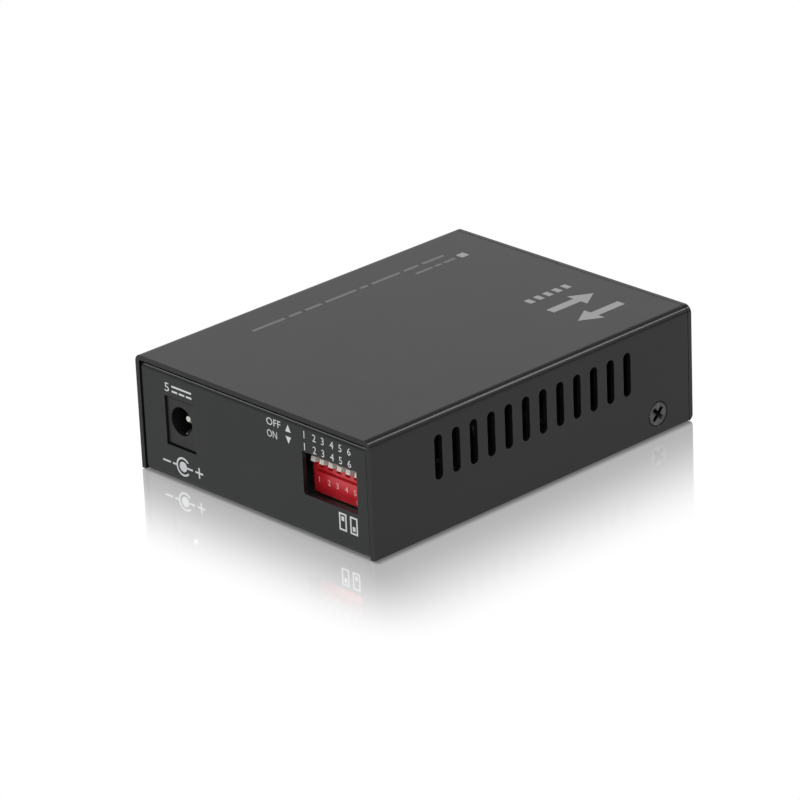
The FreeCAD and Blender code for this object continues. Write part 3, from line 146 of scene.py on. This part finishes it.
class Paint(Wiring):
    """A material built node by node on one Principled shader."""

    def __init__(self, name, color, roughness, **sockets):
        self.material = bpy.data.materials.new(name)
        self.material.use_nodes = True
        super().__init__(self.material.node_tree)
        self.shader = self.tree.nodes["Principled BSDF"]
        self.shader.inputs["Base Color"].default_value = (*color, 1)
        self.shader.inputs["Roughness"].default_value = roughness
        for socket, value in sockets.items():
            self.shader.inputs[socket.replace("_", " ")].default_value = value
        self.place = self.node("ShaderNodeTexCoord").outputs["Object"]
        self.color = color

    def noise(self, size, detail=3.0, stretch=(1, 1, 1)):
        """Noise value whose features are about size millimetres across."""
        mapping = self.node("ShaderNodeMapping", Scale=stretch)
        self.link(self.place, mapping.inputs["Vector"])
        texture = self.node("ShaderNodeTexNoise", Scale=1 / (size * MM), Detail=detail)
        self.link(mapping.outputs["Vector"], texture.inputs["Vector"])
        return texture.outputs["Fac"]

    def mix(self, factor, first, second):
        """Colour mixed from first to second; each a colour or an output."""
        mixed = self.node("ShaderNodeMix", data_type="RGBA")
        for socket, value in ((mixed.inputs[6], first), (mixed.inputs[7], second)):
            plain = not isinstance(value, bpy.types.NodeSocket)
            self.feed((*value, 1) if plain else value, socket)
        self.link(factor, mixed.inputs[0])
        return mixed.outputs[2]

    def rounded(self, radius):
        """Normal that runs round the edges at this radius, in millimetres."""
        bevel = self.node("ShaderNodeBevel", samples=BEVEL_SAMPLES, Radius=radius * MM)
        return bevel.outputs[0]

    def edges(self, radius):
        """1 on sharp edges and 0 on flat faces."""
        flat = self.node("ShaderNodeNewGeometry").outputs["True Normal"]
        turned = self.vector("DOT_PRODUCT", self.rounded(radius), flat)
        return self.spread(turned, 1.0, 0.0, 0.80, 0.985)

    def surface(self, height, strength, distance, radius=0.0):
        """Bump from a height value over edges rounded by the radius."""
        bump = self.node("ShaderNodeBump", Strength=strength, Distance=distance * MM)
        self.link(height, bump.inputs["Height"])
        if radius:
            self.link(self.rounded(radius), bump.inputs["Normal"])
        self.link(bump.outputs[0], self.shader.inputs["Normal"])

    def recolor(self, value):
        self.link(value, self.shader.inputs["Base Color"])

    def tint(self, factor, second):
        self.recolor(self.mix(factor, self.color, second))

    def roughen(self, value):
        self.link(value, self.shader.inputs["Roughness"])


def scaled(color, factor):
    return [channel * factor for channel in color]


def powder_coat(name, color, worn):
    """Fine textured black powder coat, a little polished and paler along its edges; the paler
    edge colour worn is partly wear and partly a painted highlight on the bends and sheet edges.
    """
    paint = Paint(name, color, 0.5, Specular_IOR_Level=0.05, Coat_Weight=0.45,
                  Coat_Roughness=0.12)
    grain = paint.noise(0.2, 4.0)
    cloud = paint.noise(14.0, 2.0)
    edge = paint.edges(0.35)
    patchy = paint.spread(paint.noise(2.2, 4.0), 0.25, 1.0, 0.4, 0.65)
    # edges turned to the paler worn colour: partly wear, partly a painted highlight on the bends
    # and sheet edges
    wear_and_edge_highlight = paint.math("MULTIPLY", edge, patchy)
    shade = paint.mix(paint.spread(cloud, 0.0, 1.0), scaled(color, 0.9), scaled(color, 1.1))
    paint.recolor(paint.mix(wear_and_edge_highlight, shade, worn))
    base = paint.spread(cloud, 0.44, 0.48)
    grained = paint.math("ADD", base, paint.spread(grain, -0.05, 0.07))
    paint.roughen(paint.math("SUBTRACT", grained, paint.math("MULTIPLY", wear_and_edge_highlight, 0.14)))
    paint.surface(grain, 0.2, 0.015, 0.16)
    return paint.material


def moulded(name, color, roughness, **sockets):
    """Moulded plastic: fine spark-eroded grain and faint flow clouding."""
    fine = 0.09
    paint = Paint(name, color, roughness, **sockets)
    cloud = paint.noise(3.5, 2.0)
    paint.tint(paint.spread(cloud, 0.0, 0.5), scaled(color, 0.78))
    paint.roughen(paint.spread(paint.noise(fine), roughness - 0.07, roughness + 0.09))
    paint.surface(paint.noise(fine * 1.6), 0.25, 0.03, 0.1)
    return paint.material


def metal(name, color, roughness, stretch=(1, 1, 1)):
    """Plated or plain metal with fine drawn lines, small stains and bright edges."""
    paint = Paint(name, color, roughness, Metallic=1.0)
    lines = paint.noise(0.25, 4.0, stretch)
    stain = paint.noise(2.4)
    paint.tint(paint.spread(stain, 0.0, 0.6, 0.45, 0.75), scaled(color, 0.62))
    paint.roughen(paint.math("ADD", paint.spread(lines, roughness - 0.06, roughness + 0.1),
                             paint.spread(stain, 0.0, 0.08)))
    paint.surface(lines, 0.2, 0.02, 0.08)
    return paint.material


def black_oxide():
    """Blackened screw steel, a little polished on its face, with painted shade in its recess and
    a painted shadow ring round the edge of its head.
    """
    paint = Paint("black_oxide", (0.085, 0.083, 0.080), 0.3, Metallic=1.0)
    worn = paint.spread(paint.noise(0.9), 0.0, 1.0, 0.4, 0.65)
    face = paint.mix(worn, (0.070, 0.069, 0.067), (0.105, 0.103, 0.099))
    # the dark ring round the head's edge is a painted shadow, and the dark recess is painted
    # shade from ambient occlusion
    painted_rim_shadow = paint.spread(paint.edges(0.55), 0.0, 1.0, 0.05, 0.55)
    open_air = paint.node("ShaderNodeAmbientOcclusion", samples=8, Distance=1.6 * MM)
    painted_recess_shade = paint.spread(open_air.outputs["AO"], 1.0, 0.0, 0.7, 0.96)
    paint.recolor(paint.mix(paint.math("MAXIMUM", painted_rim_shadow, painted_recess_shade), face, (0.008, 0.008, 0.008)))
    paint.roughen(paint.spread(paint.noise(0.25, 4.0), 0.24, 0.38))
    paint.surface(paint.noise(0.2), 0.2, 0.015, 0.08)
    return paint.material


def laminate():
    """Green solder mask with faint tracks under it; its very dark colours are partly the mask's
    own dark green and partly painted shade for the inside of the case.
    """
    # dark green made darker still: painted shade for the inside of the case
    mask = (0.003, 0.016, 0.009)
    paint = Paint("green_laminate", mask, 0.32)
    cells = paint.node("ShaderNodeTexBrick", Scale=1 / (9.0 * MM), Color1=(*mask, 1),
                       Color2=(0.0035, 0.018, 0.010, 1), Mortar=(0.008, 0.040, 0.020, 1),
                       **{"Mortar Size": 0.012})
    paint.link(paint.place, cells.inputs["Vector"])
    paint.recolor(cells.outputs["Color"])
    paint.roughen(paint.spread(paint.noise(0.6), 0.25, 0.42))
    paint.surface(cells.outputs["Fac"], 0.3, 0.03, 0.1)
    return paint.material


def ink(name, color):
    """Screen-printed ink, thin at pinholes, with a matt grain."""
    paint = Paint(name, color, 0.6)
    thin = paint.spread(paint.noise(0.22, 4.0), 0.0, 0.55, 0.52, 0.75)
    paint.tint(thin, scaled(color, 0.55))
    paint.roughen(paint.spread(paint.noise(0.1, 2.0), 0.5, 0.72))
    paint.surface(paint.noise(0.12), 0.2, 0.01)
    return paint.material


def lens():
    """Frosted clear light guide."""
    paint = Paint("clear_lens", (0.62, 0.66, 0.60), 0.24, Transmission_Weight=0.35, IOR=1.49)
    paint.tint(paint.spread(paint.noise(1.4, 2.0), 0.0, 0.6), (0.50, 0.55, 0.50))
    paint.roughen(paint.spread(paint.noise(0.6), 0.18, 0.30))
    paint.surface(paint.noise(0.5, 2.0), 0.05, 0.01, 0.12)
    return paint.material


# the last colour of each coat is its paler edge colour, partly wear and partly a painted
# highlight
COVER_COAT = powder_coat("cover_powder_coat", (0.0085, 0.0081, 0.0100), (0.034, 0.034, 0.035))
TRAY_COAT = powder_coat("tray_powder_coat", (0.0110, 0.0122, 0.0121), (0.036, 0.038, 0.038))
BLACK_SCREW = black_oxide()
STEEL = metal("zinc_plate", (0.55, 0.56, 0.56), 0.34)
CAGE = metal("nickel_cage", (0.52, 0.51, 0.48), 0.3, (1, 8, 1))
SPRING = metal("spring_metal", (0.72, 0.69, 0.62), 0.24)
PIN = metal("nickel_pin", (0.66, 0.65, 0.62), 0.22)
GOLD = metal("gold_contact", (0.83, 0.58, 0.2), 0.25)
CAN = metal("can_aluminium", (0.6, 0.61, 0.62), 0.36)
INLET = moulded("inlet_plastic", (0.009, 0.009, 0.010), 0.42, Specular_IOR_Level=0.32)
BLACK = moulded("black_plastic", (0.013, 0.013, 0.014), 0.4)
RED = moulded("red_plastic", (0.74, 0.020, 0.034), 0.28, Subsurface_Weight=0.08)
WHITE = moulded("lever_plastic", (0.80, 0.77, 0.70), 0.36, Subsurface_Weight=0.1)
CHIP = moulded("chip_package", (0.02, 0.02, 0.021), 0.55)
FERRITE = moulded("ferrite", (0.03, 0.03, 0.032), 0.65)
CERAMIC = moulded("ceramic_chip", (0.075, 0.055, 0.038), 0.5)
PANEL_INK = ink("panel_ink", (0.62, 0.64, 0.65))
TOP_INK = ink("top_ink", (0.15, 0.15, 0.15))
MOTIF_INK = ink("motif_ink", (0.33, 0.33, 0.33))
SWITCH_INK = ink("switch_ink", (0.85, 0.62, 0.60))

FINISH = {
    "top_cover": COVER_COAT, "base_tray": TRAY_COAT, "cover_screws": BLACK_SCREW,
    "circuit_board": laminate(), "board_standoffs": STEEL, "board_screws": STEEL,
    "dc_inlet_housing": INLET, "dc_inlet_pin": PIN, "dc_inlet_contacts": SPRING,
    "dip_housing": RED, "dip_base": BLACK, "dip_contacts": SPRING,
    "sfp_cage": CAGE, "sfp_emi_spring": SPRING, "sfp_edge_connector": BLACK,
    "sfp_edge_contacts": GOLD, "rj45_insert": BLACK, "rj45_contacts": GOLD,
    "rj45_shield": CAGE, "lamp_holder": BLACK, "status_lamps": lens(),
    "converter_chip": CHIP, "magnetics_module": CHIP, "memory_chip": CHIP, "crystal": STEEL,
    "voltage_regulator": CHIP, "power_inductor": FERRITE, "can_capacitors": CAN,
    "board_passives": CERAMIC}
FINISH.update({name: WHITE for name in LEVERS})


def dress(node):
    """Material and smooth shading for one carried-over node."""
    mesh = node.data
    mesh.materials.clear()
    mesh.materials.append(FINISH[node.name])
    mesh.shade_smooth()
    mesh.set_sharp_from_angle(angle=math.radians(SHARP_ANGLE))


for name in nodes:
    dress(nodes[name])


# ================================================================ print
class Face:
    """A flat face of the case that print lies on, with its own right and up in millimetres."""

    def __init__(self, origin, right, up):
        origin, right, up = Vector(origin), Vector(right), Vector(up)
        turn = Matrix((right, up, right.cross(up))).transposed().to_4x4()
        self.matrix = Matrix.Translation(origin) @ turn

    def piece(self, name, shape, material):
        """Turns a bmesh drawn in millimetres on this face into a piece that rides on the case."""
        shape.transform(self.matrix @ Matrix.Scale(MM, 4))
        bmesh.ops.recalc_face_normals(shape, faces=shape.faces)
        mesh = bpy.data.meshes.new(name)
        shape.to_mesh(mesh)
        shape.free()
        mesh.materials.append(material)
        made = bpy.data.objects.new(name, mesh)
        bpy.context.scene.collection.objects.link(made)
        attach(made, "case")


def plate(shape, points):
    """Adds a closed plate of ink height with this outline."""
    low = [shape.verts.new((x, y, 0)) for x, y in points]
    high = [shape.verts.new((x, y, INK)) for x, y in points]
    shape.faces.new(low[::-1])
    shape.faces.new(high)
    for k in range(len(points)):
        after = (k + 1) % len(points)
        shape.faces.new((low[k], low[after], high[after], high[k]))


def bar(shape, x0, x1, y0, y1):
    plate(shape, [(x0, y0), (x1, y0), (x1, y1), (x0, y1)])


def round_points(x, y, radius, first, last, count):
    """Points along an arc that starts at the first of two angles in degrees."""
    turns = [math.radians(first + (last - first) * k / ROUND_STEPS) for k in range(count)]
    return [(x + radius * math.cos(turn), y + radius * math.sin(turn)) for turn in turns]


def disc(shape, x, y, radius):
    plate(shape, round_points(x, y, radius, 0, 360, ROUND_STEPS))


def arc(shape, x, y, inner, outer, first, last):
    """Part of a ring between two angles in degrees."""
    count = ROUND_STEPS + 1
    plate(shape, round_points(x, y, outer, first, last, count)
          + round_points(x, y, inner, first, last, count)[::-1])


def triangle(shape, x, y, size, up):
    """Triangle in a square of this size that points up or down."""
    tip = y + size if up else y
    foot = y if up else y + size
    points = [(x, foot), (x + size, foot), (x + size / 2, tip)]
    plate(shape, points if up else points[::-1])


def arrow(shape, x, y, length, width, head, shaft):
    """Arrow along the face's right from x, or to its left when the length is negative."""
    way = 1 if length > 0 else -1
    neck = x + length - way * head
    points = [(x, y - shaft / 2), (neck, y - shaft / 2), (neck, y - width / 2), (x + length, y),
              (neck, y + width / 2), (neck, y + shaft / 2), (x, y + shaft / 2)]
    plate(shape, points[::way])


def dashes(shape, start, lengths, gap, low, high):
    """Row of bars of these lengths with a gap between them."""
    for length in lengths:
        bar(shape, start, start + length, low, high)
        start += length + gap


def words(shape, text, x, y, height, width=None):
    """Adds text in the plain built-in letters, from its left foot, at this cap height."""
    curve = bpy.data.curves.new("words", "FONT")
    curve.body = text
    curve.size = 1.0
    curve.resolution_u = 3
    curve.fill_mode = "NONE"
    holder = bpy.data.objects.new("words", curve)
    flat = bpy.data.meshes.new_from_object(holder)
    xs = [v.co.x for v in flat.vertices]
    ys = [v.co.y for v in flat.vertices]
    scale_y = height / (max(ys) - min(ys))
    scale_x = width / (max(xs) - min(xs)) if width else scale_y
    bpy.data.meshes.remove(flat)
    curve.fill_mode = "BOTH"
    curve.extrude = INK / 2 / scale_y
    solid = bpy.data.meshes.new_from_object(holder)
    for v in solid.vertices:
        v.co = ((v.co.x - min(xs)) * scale_x + x, (v.co.y - min(ys)) * scale_y + y,
                v.co.z * scale_y + INK / 2)
    start = len(shape.verts)
    shape.from_mesh(solid)
    shape.verts.ensure_lookup_table()
    bmesh.ops.remove_doubles(shape, verts=shape.verts[start:], dist=1e-5)
    bpy.data.meshes.remove(solid)
    bpy.data.objects.remove(holder)
    bpy.data.curves.remove(curve)


def lever_numbers(shape, before, y, height):
    """A number for each lever, from a little before the lever's middle."""
    for k, name in enumerate(LEVERS):
        low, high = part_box(name)
        words(shape, str(k + 1), (low.x + high.x) / 2 / MM - before, y, height)


panel = Face((0, POWER_FACE, 0), (1, 0, 0), (0, 0, 1))
lid = Face((0, 0, LID_FACE), (0, -1, 0), (1, 0, 0))
switch = Face((0, SWITCH_FACE, 0), (1, 0, 0), (0, 0, 1))


def supply_mark():
    """The number 5 and the sign for direct current, over the inlet."""
    shape = bmesh.new()
    left, right, line, dashed = -24.4, -18.3, 21.35, 20.25
    words(shape, "5", -26.6, 20.05, 1.95, 1.35)
    bar(shape, left, right, line, line + PANEL_LINE)
    dashes(shape, left, (1.7, 1.7, 1.7), 0.5, dashed, dashed + PANEL_LINE)
    panel.piece("supply_mark", shape, PANEL_INK)


def polarity_mark():
    """Minus, open ring, dot and plus of a centre-positive plug, under the inlet."""
    shape = bmesh.new()
    x = (INLET_LOW.x + INLET_HIGH.x) / 2 / MM + 0.13
    y = 3.98
    low, high = y - PANEL_LINE / 2, y + PANEL_LINE / 2
    plus, arm = x + 4.95, 1.2
    bar(shape, x - 6.35, x - 3.93, low, high)
    bar(shape, x - 3.3, x - 2.12, low, high)
    arc(shape, x, y, 1.7, 2.15, 38, 322)
    disc(shape, x, y, 1.15)
    bar(shape, x + 1.1, x + 2.96, low, high)
    bar(shape, plus - arm, plus + arm, low, high)
    bar(shape, plus - PANEL_LINE / 2, plus + PANEL_LINE / 2, high, y + arm)
    bar(shape, plus - PANEL_LINE / 2, plus + PANEL_LINE / 2, y - arm, low)
    panel.piece("polarity_mark", shape, PANEL_INK)


def switch_legend():
    """Two lines over the switch: OFF is up and ON is down, with a number over each lever."""
    shape = bmesh.new()
    height = 1.6
    for word, width, y, up in (("OFF", 4.2, 21.5, True), ("ON", 3.0, 18.85, False)):
        words(shape, word, 4.6, y, height, width)
        triangle(shape, 10.2, y, height, up)
        lever_numbers(shape, 0.48, y, height)
    panel.piece("switch_legend", shape, PANEL_INK)


def lever_pictograms():
    """Two small frames with a block at the top and at the bottom, under the switch."""
    shape = bmesh.new()
    low, high, width, inset, block_height = 4.2, 8.1, 2.2, 0.7, 1.0
    for x, block in ((25.0, high - 1.75), (28.2, low + 0.75)):
        right = x + width
        bar(shape, x, right, low, low + FRAME_LINE)
        bar(shape, x, right, high - FRAME_LINE, high)
        bar(shape, x, x + FRAME_LINE, low + FRAME_LINE, high - FRAME_LINE)
        bar(shape, right - FRAME_LINE, right, low + FRAME_LINE, high - FRAME_LINE)
        bar(shape, x + inset, right - inset, block, block + block_height)
    panel.piece("lever_pictograms", shape, PANEL_INK)


def switch_numbers():
    """Lever numbers and ON on the switch's red face."""
    shape = bmesh.new()
    lever_numbers(shape, 0.38, 10.65, 1.25)
    words(shape, "ON", 26.5, 8.85, 0.9)
    switch.piece("switch_numbers", shape, SWITCH_INK)


def lid_lines():
    """Two lines of plain dashes along the lid's left side."""
    shape = bmesh.new()
    dashes(shape, -33.8, (3.4, 2.0, 4.9), 0.75, -22.45, -21.6)
    dashes(shape, -33.4, (6.6, 4.3, 8.4, 2.2, 9.0, 4.6, 3.6, 9.2), 1.2, -25.6, -24.7)
    lid.piece("lid_lines", shape, TOP_INK)


def lid_motif():
    """A square bullet, and two opposed arrows over a row of bars, for a signal turned over."""
    shape = bmesh.new()
    left, right, low, high = -38.9, -25.1, 6.6, 27.1
    inset, width, head, shaft = 0.3, 6.0, 5.0, 2.2
    length = right - left - 2 * inset
    bar(shape, -37.3, -35.1, -23.2, -21.1)
    arrow(shape, left + inset, high - 4.2, length, width, head, shaft)
    arrow(shape, right - inset, low + 8.2, -length, width, head, shaft)
    dashes(shape, left + 2 * inset, (1.5,) * 5, 1.25, low, low + 2.2)
    lid.piece("lid_motif", shape, MOTIF_INK)


supply_mark()
polarity_mark()
switch_legend()
lever_pictograms()
switch_numbers()
lid_lines()
lid_motif()


# ================================================================ floor, light and camera
def floor_material():
    """White glow, with a share of gloss that fades with the distance from the case, and a painted
    contact shadow at the foot where that share rises further.
    """
    material = bpy.data.materials.new("pale_floor")
    material.use_nodes = True
    wires = Wiring(material.node_tree)
    wires.tree.nodes.clear()
    place = wires.node("ShaderNodeTexCoord").outputs["Object"]
    half = (case_high - case_low) / 2
    foot = (half.x, half.y - FOOT_INSET * MM, 0)
    beyond = wires.vector("SUBTRACT", wires.vector("ABSOLUTE", place), foot)
    outside = wires.vector("MAXIMUM", beyond, (0, 0, 0))
    stretched = wires.vector("MULTIPLY", outside, FADE_STRETCH)
    squared = wires.vector("MULTIPLY", stretched, stretched)
    distance = wires.math("POWER", wires.vector("DOT_PRODUCT", squared, squared), 0.25)
    # the second share is a painted contact shadow at the foot of the case
    share = wires.math("ADD", *(wires.eased(distance, most, 0.0, 0.0, reach * MM)
                                for most, reach in (FADE, FOOT_SHADOW_FADE)))
    glow = wires.node("ShaderNodeEmission", Color=(1, 1, 1, 1), Strength=1.0)
    gloss = wires.node("ShaderNodeBsdfGlossy", Color=(1, 1, 1, 1), Roughness=0.06)
    mixed = wires.node("ShaderNodeMixShader")
    for output, socket in zip((share, glow.outputs[0], gloss.outputs[0]), mixed.inputs):
        wires.link(output, socket)
    wires.link(mixed.outputs[0], wires.node("ShaderNodeOutputMaterial").inputs[0])
    return material


def floor():
    """Pale glossy floor whose mirror image of the case is darkest at its foot, where a painted
    contact shadow adds to it.
    """
    mesh = bpy.data.meshes.new("floor")
    size = FLOOR_HALF * MM
    corners = [(-size, -size, 0), (size, -size, 0), (size, size, 0), (-size, size, 0)]
    mesh.from_pydata(corners, [], [(0, 1, 2, 3)])
    mesh.materials.append(floor_material())
    made = bpy.data.objects.new("floor", mesh)
    made.location.z = case_low.z - FLOOR_DROP * MM
    bpy.context.scene.collection.objects.link(made)
    return made


def softbox(name, direction, size, power, left_out):
    """Square area light that looks at the middle of the case and leaves out the floor."""
    data = bpy.data.lights.new(name, "AREA")
    data.size = size
    data.energy = power
    made = bpy.data.objects.new(name, data)
    way = Vector(direction).normalized()
    made.location = way * LIGHT_DISTANCE
    made.rotation_euler = way.to_track_quat("Z", "Y").to_euler()
    bpy.context.scene.collection.objects.link(made)
    made.light_linking.receiver_collection = left_out


def studio():
    """World with a dim ceiling and dim low parts, but plain white where the camera sees it."""
    world = bpy.data.worlds.new("white_studio")
    world.use_nodes = True
    wires = Wiring(world.node_tree)
    way = wires.node("ShaderNodeTexCoord").outputs["Generated"]
    split = wires.node("ShaderNodeSeparateXYZ")
    wires.link(way, split.inputs[0])
    height = split.outputs["Z"]
    left_back = wires.vector("DOT_PRODUCT", way, LEFT_BACK)
    ceiling = wires.eased(height, BRIGHT, CEILING, 0.50, 0.66)
    low = wires.eased(height, DIM, 1.0, 0.10, 0.30)
    side = wires.eased(left_back, 0.0, 1.0, 0.20, 0.55)
    lit = wires.math("MULTIPLY", ceiling, wires.math("MAXIMUM", low, side))
    seen = wires.node("ShaderNodeLightPath").outputs["Is Camera Ray"]
    background = wires.tree.nodes["Background"]
    background.inputs["Color"].default_value = (1, 1, 1, 1)
    wires.link(wires.math("MAXIMUM", lit, seen), background.inputs["Strength"])
    bpy.context.scene.world = world


def lights(ground):
    """Two soft lights high up that give the bends their bright lines."""
    left_out = bpy.data.collections.new("left_out")
    left_out.objects.link(ground)
    left_out.collection_objects[0].light_linking.link_state = "EXCLUDE"
    softbox("back_light", (0.40, 0.63, 0.67), 0.3, 2.0, left_out)
    softbox("front_light", (-0.67, -0.40, 0.63), 0.5, 4.5, left_out)


def camera():
    """Long lens about halfway round from the power panel to the case's right side."""
    azimuth, elevation, roll = (math.radians(angle) for angle in CAMERA_TURN)
    back = Vector((math.sin(azimuth) * math.cos(elevation),
                   -math.cos(azimuth) * math.cos(elevation), math.sin(elevation)))
    right = Vector((math.cos(azimuth), math.sin(azimuth), 0))
    up = back.cross(right)
    tilted_right = math.cos(roll) * right + math.sin(roll) * up
    tilted_up = math.cos(roll) * up - math.sin(roll) * right
    turn = Matrix((tilted_right, tilted_up, back)).transposed()
    data = bpy.data.cameras.new("camera")
    data.sensor_width = CAMERA_SENSOR
    data.lens = CAMERA_LENS
    data.clip_start, data.clip_end = 0.05, 20.0
    made = bpy.data.objects.new("camera", data)
    middle = Vector((0, 0, (case_low.z + case_high.z) / 2))
    place = middle + turn @ Vector(CAMERA_PLACE) * MM
    made.matrix_world = Matrix.Translation(place) @ turn.to_4x4()
    bpy.context.scene.collection.objects.link(made)
    bpy.context.scene.camera = made


ground = floor()
studio()
lights(ground)
camera()
bpy.context.scene.view_settings.view_transform = "Standard"
bpy.context.scene.cycles.use_denoising = True
